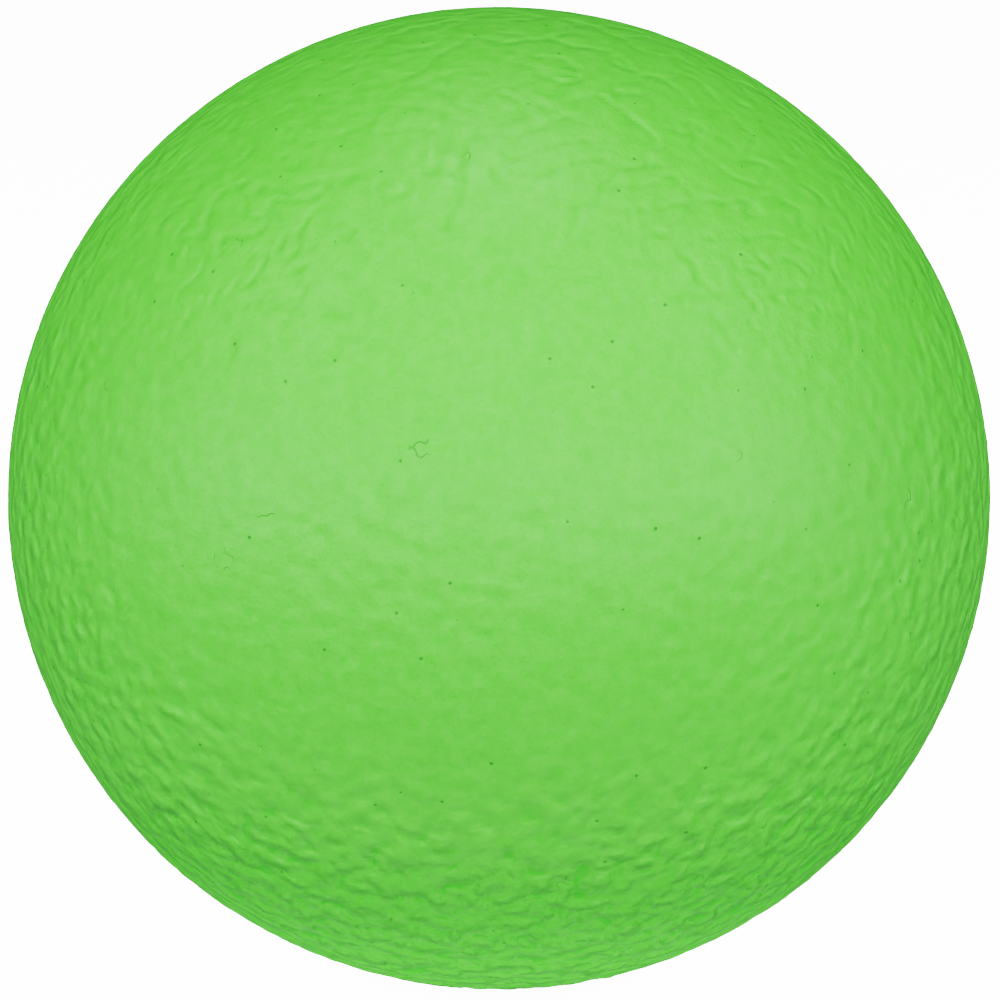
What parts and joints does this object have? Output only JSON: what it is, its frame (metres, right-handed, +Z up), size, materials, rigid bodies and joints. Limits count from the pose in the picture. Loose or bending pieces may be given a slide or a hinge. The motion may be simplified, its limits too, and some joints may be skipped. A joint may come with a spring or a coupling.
{
  "type": "stress ball",
  "caption": "Round foam ball with a soft leathery moulded skin, squeezed in the hand to ease tension and exercise the grip.",
  "frame": {"origin": "centre of the small flat under the ball that it rests on", "axes": "+Z up through the ball's centre and both poles, square to the parting line; X and Y are equal round the ball"},
  "size_m": [0.07, 0.07, 0.0697],
  "materials": {
    "skin_green": "satin",
    "foam_core_green": "matte"
  },
  "bodies": {
    "lower_half": {"lower_skin": "skin_green", "foam_core": "foam_core_green"},
    "upper_half": {"upper_skin": "skin_green"}
  },
  "joints": [
    {"name": "squeeze", "type": "slide", "parent": "lower_half", "child": "upper_half", "axis": [0, 0, -1], "range_m": [0, 0.03], "stiffness_N_per_m": 2200, "deforming": ["upper_skin", "lower_skin", "foam_core"]}
  ]
}
